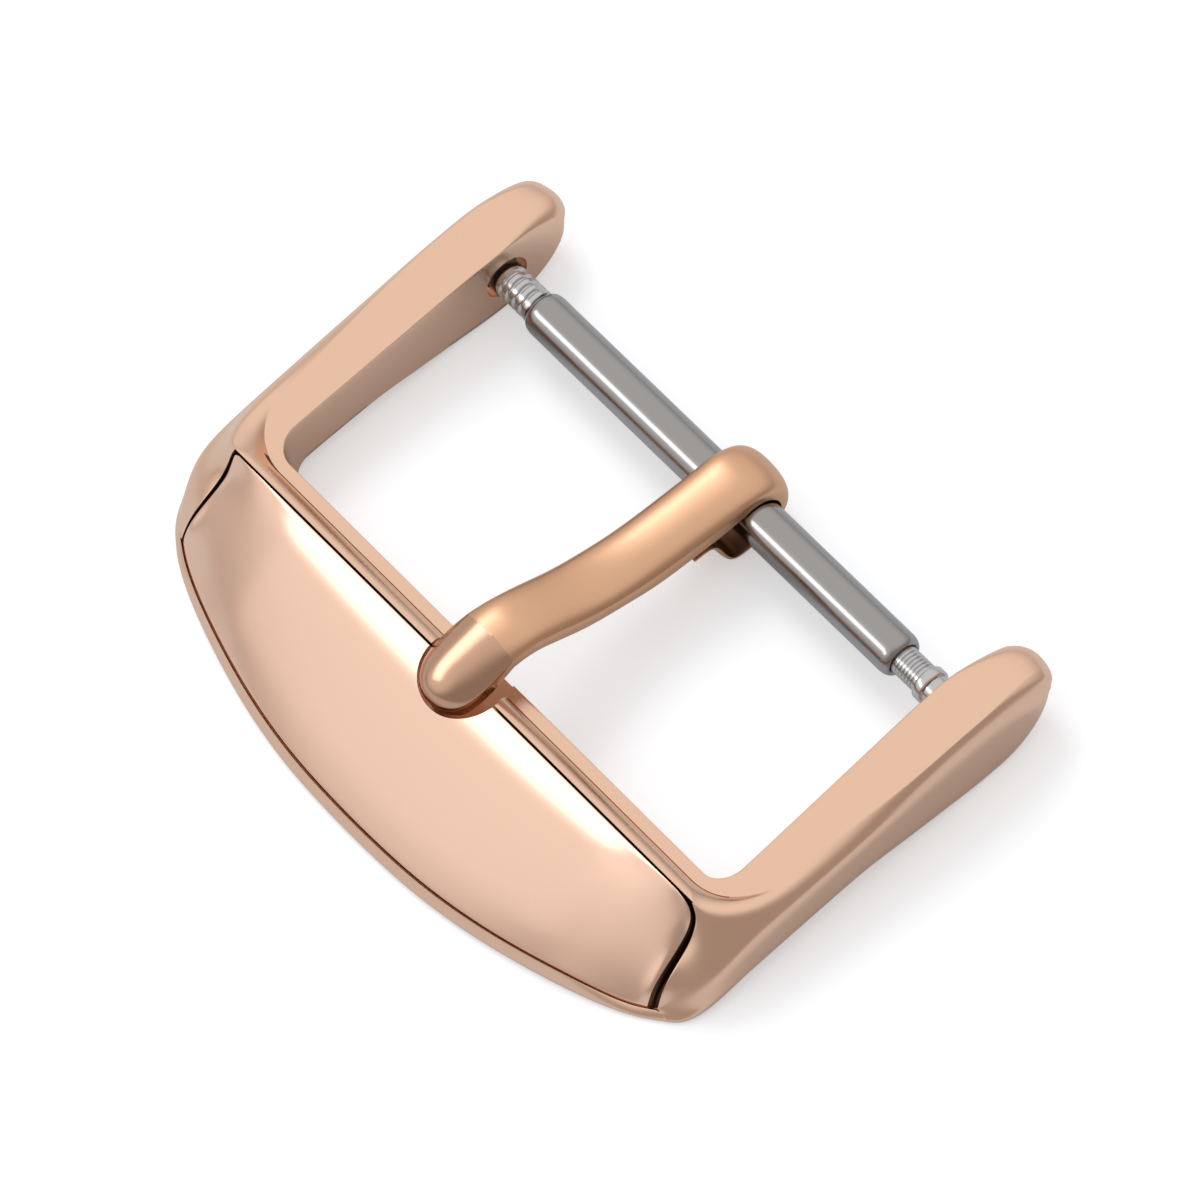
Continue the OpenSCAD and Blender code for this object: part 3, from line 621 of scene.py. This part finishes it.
def tongue_ring(st):
    """One section of the strip. The tip is rounder than the blade and lies a little to the left."""
    tip = smooth((-st[1][0] - TIP_FROM) / TIP_FADE) if st[1][1] > BORE else 0
    ring = []
    for cx, q in CROWN:
        p = mix(st[0], st[1], mix(q, math.sqrt(1 - (CROWN_SHARE * cx) ** 2) if q > 0 else 0, tip))
        v = turn @ Vector((cx * st[2] + TIP_SHIFT * tip, p[0], p[1]))
        ring.append((v.x + TONGUE_SHIFT, v.y, v.z))
    return ring


tongue_rings = [tongue_ring(s) for s in stations]
count = len(tongue_rings)
tongue = skin("gold_tongue", tongue_rings, [[0.6] + [0] * 10 + [0.6]] * count,
              [0.2] + [0] * (SHOULDER_RING - 1) + [0.6] + [0] * (count - SHOULDER_RING - 2) + [0.2])
subdivide(tongue)
cut(tongue, cutter("bore", lambda bm: rod(bm, BORE, -BORE_REACH, BORE_REACH, 128)))
settle(tongue, SHARP_ANGLE)

# Tube and tips: profiles of [radius, distance along the bar], turned about its axis
TUBE_R = 0.65
TUBE_WALL = 0.1
TUBE_OFFSET = 0.17
HALF_TUBE = 7.38
SLIDE_CLEARANCE = 0.02
LEFT_TIP_R = 0.5
RIGHT_TIP_R = 0.435
COLLAR_R = 0.525
END_CURVE = 0.32
HEAD_SEAT = HALF_TUBE - END_CURVE - 0.06
HEAD_BACK = HEAD_SEAT - 1.1
HEAD_R = TUBE_R - TUBE_WALL - SLIDE_CLEARANCE
TIP_DEPTH = 0.8
RIB_START = HALF_TUBE + 0.06
LEFT_RIBS, LEFT_PITCH, LEFT_RIB_DEPTH, LEFT_RIB_HALF = 5, 0.27, 0.07, 0.075
RIGHT_RIBS, RIGHT_PITCH, RIGHT_RIB_DEPTH, RIGHT_RIB_HALF = 7, 0.117, 0.05, 0.038
COLLAR_WIDTH = 0.33
SLIT_HALF = 0.045
TURNED_SIDES = 160


def lathe(name, profile, side):
    """A closed turned piece along the bar, outwards to the left for side -1 and to the right for 1."""
    bm = bmesh.new()
    rows = []
    turns = [2 * math.pi * k / TURNED_SIDES for k in range(TURNED_SIDES)]
    for r, x in profile:
        at = side * x - TUBE_OFFSET
        if r == 0:
            rows.append([bm.verts.new(laid((at, 0, 0)))])
            continue
        rows.append([bm.verts.new(laid((at, r * math.cos(a), r * math.sin(a)))) for a in turns])
    for a, b in zip(rows, rows[1:] + ([rows[0]] if profile[0][0] else [])):
        for k in range(TURNED_SIDES):
            h = (k + 1) % TURNED_SIDES
            face = [a[k], a[h], b[h], b[k]] if len(a) > 1 and len(b) > 1 else (
                [a[0], b[h], b[k]] if len(a) == 1 else [a[k], a[h], b[0]])
            bm.faces.new(face)
    return added(name, bm)


def ribs(count, pitch, r, depth, wide):
    """Grooves cut round a tip, each with rounded sides, as points going outwards along the bar."""
    points = []
    for i in range(count):
        x = RIB_START + i * pitch
        points += [(r - depth * math.cos(math.radians(a)) ** 0.8 if abs(a) < 90 else r, x + wide * a / 90)
                   for a in range(-90, 91, 15)]
    return points


def tube_end(mouth):
    return [(mix(mouth + 0.04, TUBE_R, math.sin(math.radians(a))),
             HALF_TUBE - END_CURVE + END_CURVE * math.cos(math.radians(a))) for a in range(90, -1, -6)]


def tip_profile(r, middle):
    head = [(0, HEAD_BACK), (HEAD_R - 0.08, HEAD_BACK), (HEAD_R, HEAD_BACK + 0.08),
            (HEAD_R, HEAD_SEAT), (r, HEAD_SEAT)]
    return head + middle


left_mouth, right_mouth = LEFT_TIP_R + SLIDE_CLEARANCE, RIGHT_TIP_R + SLIDE_CLEARANCE
bore_r = TUBE_R - TUBE_WALL
tube_profile = tube_end(right_mouth) + [
    (right_mouth, HALF_TUBE - 0.03), (right_mouth, HALF_TUBE - END_CURVE / 2),
    (bore_r, HALF_TUBE - END_CURVE), (bore_r, -HALF_TUBE + END_CURVE),
    (left_mouth, -HALF_TUBE + END_CURVE / 2), (left_mouth, -HALF_TUBE + 0.03)]
tube_profile += [(r, -x) for r, x in tube_end(left_mouth)[::-1]]
tube = settle(lathe("turned_tube", tube_profile, 1), SHARP_ANGLE)

left_end = HALF_GAP - TUBE_OFFSET + TIP_DEPTH
left_shank = ribs(LEFT_RIBS, LEFT_PITCH, LEFT_TIP_R, LEFT_RIB_DEPTH, LEFT_RIB_HALF) + [
    (LEFT_TIP_R, left_end - 0.2), (LEFT_TIP_R - 0.03, left_end - 0.1), (LEFT_TIP_R - 0.08, left_end - 0.04),
    (LEFT_TIP_R - 0.2, left_end), (0, left_end)]
left_tip = settle(lathe("turned_left_tip", tip_profile(LEFT_TIP_R, left_shank), -1), TIP_SHARP_ANGLE)

collar = RIB_START + RIGHT_RIBS * RIGHT_PITCH
collar_end = collar + COLLAR_WIDTH
right_end = HALF_GAP + TUBE_OFFSET + TIP_DEPTH
right_shank = ribs(RIGHT_RIBS, RIGHT_PITCH, RIGHT_TIP_R, RIGHT_RIB_DEPTH, RIGHT_RIB_HALF) + [
    (RIGHT_TIP_R, collar), (COLLAR_R - 0.06, collar), (COLLAR_R - 0.02, collar + 0.02),
    (COLLAR_R, collar + 0.06), (COLLAR_R, collar_end - 0.06), (COLLAR_R - 0.02, collar_end - 0.02),
    (COLLAR_R - 0.06, collar_end), (RIGHT_TIP_R, collar_end + 0.02), (RIGHT_TIP_R, right_end - 0.15),
    (RIGHT_TIP_R - 0.12, right_end), (0, right_end)]
right_tip = lathe("turned_right_tip", tip_profile(RIGHT_TIP_R, right_shank), 1)


def slit(bm):
    x0, x1 = collar_end + 0.06 - TUBE_OFFSET, right_end + 0.2
    corners = [bm.verts.new(laid((x, y, z)))
               for x in (x0, x1) for y in (-0.6, 0.6) for z in (-SLIT_HALF, SLIT_HALF)]
    for quad in ((0, 1, 3, 2), (4, 6, 7, 5), (0, 4, 5, 1), (2, 3, 7, 6), (0, 2, 6, 4), (1, 5, 7, 3)):
        bm.faces.new([corners[k] for k in quad])


cut(right_tip, cutter("slit", slit))
settle(right_tip, TIP_SHARP_ANGLE)

for piece, node, slot, body_name in ((body, "buckle_frame", "rose_gold_cast", "frame"),
                                     (plate, "front_plate", "rose_gold_polished", "frame"),
                                     (tongue, "tongue", "rose_gold_satin", "tongue"),
                                     (tube, "bar_tube", "steel_tube", "bar"),
                                     (left_tip, "left_plunger", "steel_tips", "left_tip"),
                                     (right_tip, "right_plunger", "steel_tips", "right_tip")):
    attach(piece, body_name)
    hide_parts(node)


# Materials
MOTTLING = 0.1


def metal(name, color, roughness, grain=0.0, scale=4000.0):
    """Polished or satin metal: fine mottling in the roughness and a faint bump."""
    mat = bpy.data.materials.new(name)
    mat.use_nodes = True
    nodes, links = mat.node_tree.nodes, mat.node_tree.links
    shader = nodes["Principled BSDF"]
    shader.inputs["Base Color"].default_value = (*color, 1)
    shader.inputs["Metallic"].default_value = 1.0
    coords = nodes.new("ShaderNodeTexCoord")
    noise = nodes.new("ShaderNodeTexNoise")
    noise.inputs["Scale"].default_value = scale
    noise.inputs["Detail"].default_value = 3.0
    links.new(coords.outputs["Object"], noise.inputs["Vector"])
    spread = nodes.new("ShaderNodeMapRange")
    spread.inputs["To Min"].default_value = roughness * (1 - MOTTLING)
    spread.inputs["To Max"].default_value = roughness * (1 + MOTTLING)
    links.new(noise.outputs["Fac"], spread.inputs["Value"])
    links.new(spread.outputs["Result"], shader.inputs["Roughness"])
    if grain:
        bump = nodes.new("ShaderNodeBump")
        bump.inputs["Strength"].default_value = grain
        bump.inputs["Distance"].default_value = 0.00001
        links.new(noise.outputs["Fac"], bump.inputs["Height"])
        links.new(bump.outputs["Normal"], shader.inputs["Normal"])
    return mat


cast = metal("rose_gold_cast", (0.83, 0.57, 0.425), 0.25, grain=0.03)
polished = metal("rose_gold_polished", (0.86, 0.6, 0.47), 0.24, grain=0.02)
satin = metal("rose_gold_satin", (0.69, 0.42, 0.265), 0.32, grain=0.12, scale=9000)
# The tongue's polished tip: its lower roughness is its real finish, and its colour, darker than the blade's,
# is painted shade
tip_gold = metal("rose_gold_tip", (0.6, 0.38, 0.265), 0.19, grain=0.02)
steel = metal("steel_tube", (0.35, 0.35, 0.35), 0.17, grain=0.02)
tips = metal("steel_tips", (0.56, 0.57, 0.58), 0.16, grain=0.02)
wire = metal("spring_wire", (0.45, 0.45, 0.46), 0.3, grain=0.05)
# A near-black colour painted on the groove walls round the plate, along the rim's crease and on the plate's
# right end: painted shade
painted_shade_metal = metal("rose_gold_painted_shade", (0.11, 0.055, 0.035), 0.5)
for piece, *metals in ((body, cast, painted_shade_metal), (plate, polished, painted_shade_metal),
                       (tongue, satin, tip_gold)):
    for k, mat in enumerate(metals):
        piece.data.materials[k] = mat
for piece, mat in ((tube, steel), (left_tip, tips), (right_tip, tips)):
    piece.data.materials.append(mat)
for slot in frame["nodes"]["plunger_spring"].material_slots:
    slot.material = wire
shoulder_y = laid((0, -7.6, 2.4)).y
for face in tongue.data.polygons:
    face.material_index = 1 if face.center.y < shoulder_y else 0

# Camera: the photo's view, from a long way off
PHOTO = Vector((0.0, 0.08, -0.41))
back = Vector((0.45, -0.165, 0.8777)).normalized()
right = Vector((0.6431, 0.7417, -0.1903)).normalized()
up = back.cross(right)
spin = Matrix.Rotation(TILT, 3, "X")
back, right, up = spin @ back, spin @ right, spin @ up
FAR_MM = 310
PER_MM = 38.1
PHOTO_X, PHOTO_Y, PHOTO_WIDTH = 730.3, 492.2, 1200
SENSOR = 36
middle = (laid(PHOTO) - right * (PHOTO_X - PHOTO_WIDTH / 2) / PER_MM * MM
          + up * (PHOTO_Y - PHOTO_WIDTH / 2) / PER_MM * MM)
eye = laid(PHOTO) + back * (FAR_MM * MM)
b = (eye - middle).normalized()
r = up.cross(b).normalized()
u = b.cross(r)
camera = bpy.data.objects.new("camera", bpy.data.cameras.new("camera"))
bpy.context.scene.collection.objects.link(camera)
camera.matrix_world = Matrix(((r.x, u.x, b.x, eye.x), (r.y, u.y, b.y, eye.y),
                              (r.z, u.z, b.z, eye.z), (0, 0, 0, 1)))
camera.data.sensor_width = SENSOR
camera.data.sensor_fit = "HORIZONTAL"
camera.data.lens = SENSOR * PER_MM * FAR_MM / PHOTO_WIDTH
camera.data.clip_start = 0.01
camera.data.clip_end = 10
bpy.context.scene.camera = camera

# Floor and light
floor_mesh = bpy.data.meshes.new("floor")
FLOOR_HALF = 0.4
FLOOR_DROP = 0.00002
CAMERA_GLOW, MIRROR_GLOW = 0.42, 0.05
floor_mesh.from_pydata([(x * FLOOR_HALF, y * FLOOR_HALF, 0) for x, y in ((-1, -1), (1, -1), (1, 1), (-1, 1))],
                       [], [(0, 1, 2, 3)])
floor = bpy.data.objects.new("floor", floor_mesh)
floor.location.z = -FLOOR_DROP
bpy.context.scene.collection.objects.link(floor)
white = bpy.data.materials.new("paper_white")
white.use_nodes = True
nodes, links = white.node_tree.nodes, white.node_tree.links
shader = nodes["Principled BSDF"]
shader.inputs["Base Color"].default_value = (0.665, 0.7, 0.74, 1)
shader.inputs["Roughness"].default_value = 0.9
shader.inputs["Specular IOR Level"].default_value = 0.0
path = nodes.new("ShaderNodeLightPath")
mirror = nodes.new("ShaderNodeMath")
mirror.operation = "MULTIPLY"
mirror.inputs[1].default_value = MIRROR_GLOW
links.new(path.outputs["Is Glossy Ray"], mirror.inputs[0])
glow = nodes.new("ShaderNodeMath")
glow.operation = "MULTIPLY_ADD"
glow.inputs[1].default_value = CAMERA_GLOW
links.new(path.outputs["Is Camera Ray"], glow.inputs[0])
links.new(mirror.outputs["Value"], glow.inputs[2])
shader.inputs["Emission Color"].default_value = (1, 1, 1, 1)
links.new(glow.outputs["Value"], shader.inputs["Emission Strength"])
floor_mesh.materials.append(white)

world = bpy.data.worlds.new("studio")
bpy.context.scene.world = world
world.use_nodes = True
nodes, links = world.node_tree.nodes, world.node_tree.links
nodes.clear()
out = nodes.new("ShaderNodeOutputWorld")
sky = nodes.new("ShaderNodeBackground")
coords = nodes.new("ShaderNodeTexCoord")


def lobe(toward, near, far, strength):
    """A soft patch of light round a direction: full at the cosine near, gone at the cosine far."""
    dot = nodes.new("ShaderNodeVectorMath")
    dot.operation = "DOT_PRODUCT"
    dot.inputs[1].default_value = Vector(toward).normalized()
    links.new(coords.outputs["Generated"], dot.inputs[0])
    fade = nodes.new("ShaderNodeMapRange")
    fade.interpolation_type = "SMOOTHSTEP"
    fade.inputs["From Min"].default_value = far
    fade.inputs["From Max"].default_value = near
    fade.inputs["To Max"].default_value = strength
    links.new(dot.outputs["Value"], fade.inputs["Value"])
    return fade.outputs["Result"]


def brighter(a, b):
    node = nodes.new("ShaderNodeMath")
    node.operation = "MAXIMUM"
    links.new(a, node.inputs[0])
    links.new(b, node.inputs[1])
    return node.outputs[0]


ROOM_COLOR, ROOM_STRENGTH = (1, 0.9, 0.83, 1), 0.42
light = lobe((-0.3, 0.35, 0.88), 0.92, 0.25, 0.55)
light = brighter(light, lobe((-0.8, 0, 0.6), 0.85, 0.6, 0.3))
light = brighter(light, lobe((-0.34, -0.6, 0.72), 1.0, 0.6, 0.62))
links.new(light, sky.inputs["Strength"])
sky.inputs["Color"].default_value = (1, 1, 1, 1)
room = nodes.new("ShaderNodeBackground")
room.inputs["Color"].default_value = ROOM_COLOR
room.inputs["Strength"].default_value = ROOM_STRENGTH
both = nodes.new("ShaderNodeAddShader")
links.new(sky.outputs["Background"], both.inputs[0])
links.new(room.outputs["Background"], both.inputs[1])
links.new(both.outputs["Shader"], out.inputs["Surface"])


LAMP_DISTANCE = 0.25


def aimed(name, aim, toward, size_x, size_y, brightness):
    """An area lamp that looks at a point from LAMP_DISTANCE away."""
    at = Vector(aim) + Vector(toward).normalized() * LAMP_DISTANCE
    data = bpy.data.lights.new(name, "AREA")
    data.shape = "RECTANGLE"
    data.size, data.size_y = size_x, size_y
    data.energy = brightness * math.pi * size_x * size_y
    obj = bpy.data.objects.new(name, data)
    obj.location = at
    obj.rotation_euler = (Vector(aim) - at).to_track_quat("-Z", "Y").to_euler()
    bpy.context.scene.collection.objects.link(obj)
    return obj


def only_on(lamp, *pieces):
    """The lamp lights only these pieces, as a card held close to them would."""
    group = bpy.data.collections.new(lamp.name + "_on")
    for piece in pieces:
        group.objects.link(piece)
    lamp.light_linking.receiver_collection = group


def feathered(lamp, inner, outer):
    """Softens a lamp towards its rim, as a softbox is."""
    lamp.data.use_nodes = True
    nodes, links = lamp.data.node_tree.nodes, lamp.data.node_tree.links
    place = nodes.new("ShaderNodeNewGeometry")
    away = nodes.new("ShaderNodeVectorMath")
    away.operation = "DISTANCE"
    away.inputs[1].default_value = (0.5, 0.5, 0)
    links.new(place.outputs["Parametric"], away.inputs[0])
    fade = nodes.new("ShaderNodeMapRange")
    fade.interpolation_type = "SMOOTHSTEP"
    fade.inputs["From Min"].default_value = inner
    fade.inputs["From Max"].default_value = outer
    fade.inputs["To Min"].default_value = 1.0
    fade.inputs["To Max"].default_value = 0.0
    links.new(away.outputs["Value"], fade.inputs["Value"])
    links.new(fade.outputs["Result"], nodes["Emission"].inputs["Strength"])


# Each lamp: name, the point it looks at, the direction it stands in, its two sizes, its brightness,
# how far its rim is soft, and the pieces that it lights
for name, aim, toward, size_x, size_y, brightness, rim, lit in (
        ("plate_softbox", (0, -9, 2), (-0.44, 0.24, 0.86), 0.38, 0.38, 0.76, (0.08, 0.5), (plate,)),
        ("plate_fill", (6, -9, 2), (0.15, -0.4, 0.88), 0.32, 0.32, 0.4, (0.05, 0.5), (plate,)),
        ("plate_strip", (0, -8.8, 2.2), (-0.45, -0.03, 0.89), 0.1, 0.24, 0.9, None, (plate,)),
        ("table_softbox", (0, -5, 0), (-0.6, 0.25, 0.75), 0.1, 0.1, 6.0, None, (floor,)),
        ("tip_strip", (0, -9, 2), (-0.62, -0.12, 0.78), 0.28, 0.09, 1.9, None, (tongue,)),
        ("tongue_strip", (0, -4, 2), (-0.68, 0.17, 0.71), 0.12, 0.12, 0.7, (0.1, 0.5), (tongue,)),
        ("tube_strip", (0, 0, 0), (-0.39, -0.66, 0.64), 0.2, 0.07, 2.2, None, (tube, left_tip, right_tip))):
    lamp = aimed(name, laid(aim), toward, size_x, size_y, brightness)
    if rim:
        feathered(lamp, *rim)
    only_on(lamp, *lit)

bpy.context.scene.view_settings.view_transform = "Standard"
bpy.context.scene.view_settings.look = "None"
bpy.context.scene.view_settings.exposure = 0.0
bpy.context.scene.view_settings.gamma = 1.0
